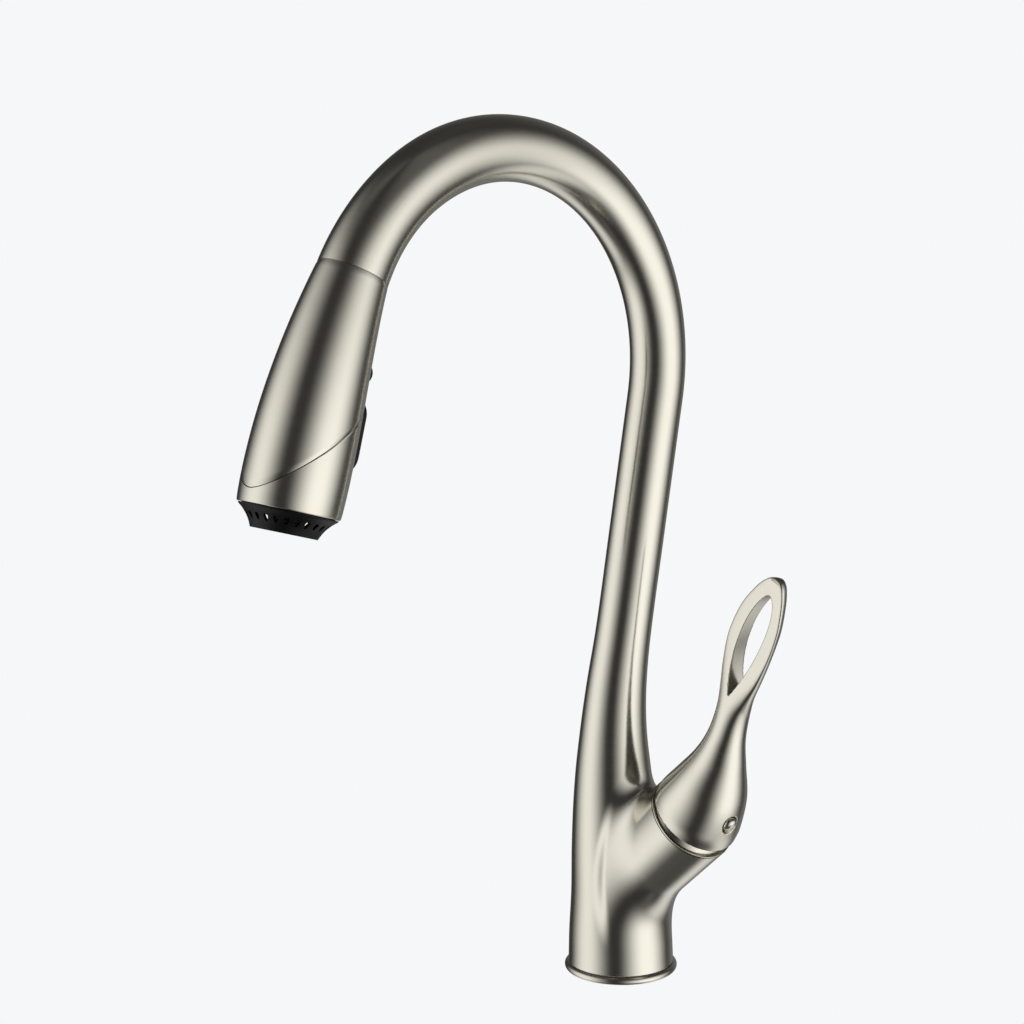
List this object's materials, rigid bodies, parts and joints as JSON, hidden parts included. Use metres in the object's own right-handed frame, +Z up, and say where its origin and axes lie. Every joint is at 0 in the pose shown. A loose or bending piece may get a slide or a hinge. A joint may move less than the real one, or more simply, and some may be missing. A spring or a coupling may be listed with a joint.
{
  "type": "pull down kitchen faucet",
  "caption": "High-arc pull-down kitchen faucet in brushed nickel: side branch with a loop lever, swivelling body and a docking spray head with button, rocker and perforated nozzle.",
  "frame": {"origin": "centre of the base underside, on the deck", "axes": "+Z up from the deck, -Y toward the sink and the user, where the spout reaches, +X toward the side lever"},
  "size_m": [0.131, 0.2512, 0.4065],
  "materials": {
    "brushed_nickel": "brushed",
    "brass": "machined",
    "steel": "machined",
    "hose_braid": "braided nylon",
    "copper": "drawn",
    "black_plastic": "satin",
    "grey_plastic": "moulded",
    "white_plastic": "moulded",
    "rubber": "matte",
    "ceramic": "polished"
  },
  "bodies": {
    "base": {"base_plate": "steel", "base_gasket": "rubber", "base_flange": "brushed_nickel", "swivel_spigot": "brass", "swivel_washer": "white_plastic", "spigot_snap_ring": "steel", "hose_guide_bush": "white_plastic"},
    "body": {"faucet_body": "brushed_nickel", "spray_hose": "hose_braid", "dock_collar": "black_plastic", "hot_supply_tube": "copper", "cold_supply_tube": "copper", "mixed_outlet_tube": "copper", "valve_body": "brass", "cartridge_gasket": "rubber", "fixed_ceramic_disc": "ceramic", "cartridge_housing": "white_plastic", "cartridge_nut": "brass", "branch_trim_ring": "brushed_nickel", "bonnet": "brushed_nickel"},
    "stem_rotor": {"stem_carrier": "white_plastic", "stem_pivot_pin": "steel"},
    "lever": {"handle_lever": "brushed_nickel", "cartridge_stem": "steel", "handle_set_screw": "steel", "set_screw_cap": "brushed_nickel"},
    "mixing_disc": {"moving_ceramic_disc": "ceramic"},
    "hose_end": {"hose_nut": "brass"},
    "spray_head": {"wand_upper_shell": "brushed_nickel", "wand_lower_shell": "brushed_nickel", "wand_shank": "grey_plastic", "shank_seal": "rubber", "check_valve": "white_plastic", "nozzle_skirt": "black_plastic", "spray_plate": "grey_plastic", "spray_nozzles": "rubber", "aerator": "grey_plastic", "flow_housing": "grey_plastic", "spray_face_seal": "rubber", "rocker_pivot_pin": "steel", "button_spring": "steel"},
    "boost_button": {"spray_button": "black_plastic"},
    "rocker": {"mode_rocker": "black_plastic"},
    "diverter": {"diverter_spool": "white_plastic"}
  },
  "joints": [
    {"name": "body_swivel", "type": "hinge", "parent": "base", "child": "body", "pos_m": [0, 0, 0.004], "axis": [0, 0, 1], "range_deg": [-60, 60]},
    {"name": "lever_turn", "type": "hinge", "parent": "body", "child": "stem_rotor", "pos_m": [0.03779, 0, 0.07626], "axis": [0.7254, 0, 0.6884], "range_deg": [-35, 35]},
    {"name": "lever_lift", "type": "hinge", "parent": "stem_rotor", "child": "lever", "pos_m": [0.03779, 0, 0.07626], "axis": [0, 1, 0], "range_deg": [0, 11]},
    {"name": "disc_slide", "type": "slide", "parent": "stem_rotor", "child": "mixing_disc", "axis": [-0.6884, 0, 0.7254], "range_m": [0, 0.0017]},
    {"name": "head_pull", "type": "slide", "parent": "body", "child": "hose_end", "axis": [0, -0.454, -0.891], "range_m": [0, 0.2], "stiffness_N_per_m": 20, "springref_m": -0.4},
    {"name": "head_swivel", "type": "hinge", "parent": "hose_end", "child": "spray_head", "pos_m": [0, -0.15749, 0.34133], "axis": [0, -0.454, -0.891], "continuous": true},
    {"name": "button_press", "type": "slide", "parent": "spray_head", "child": "boost_button", "axis": [0, -0.9309, 0.3652], "range_m": [0, 0.0015], "stiffness_N_per_m": 800, "springref_m": -0.002},
    {"name": "rocker_tip", "type": "hinge", "parent": "spray_head", "child": "rocker", "pos_m": [0, -0.16665, 0.27545], "axis": [1, 0, 0], "range_deg": [-3.5, 3.5]},
    {"name": "diverter_slide", "type": "slide", "parent": "spray_head", "child": "diverter", "axis": [0, -0.279, -0.9603], "range_m": [-0.0015, 0.0015]}
  ],
  "couplings": [
    {"joint": "disc_slide", "follows": "lever_lift", "m_per_rad": 0.0085},
    {"joint": "diverter_slide", "follows": "rocker_tip", "m_per_rad": 0.0244}
  ]
}
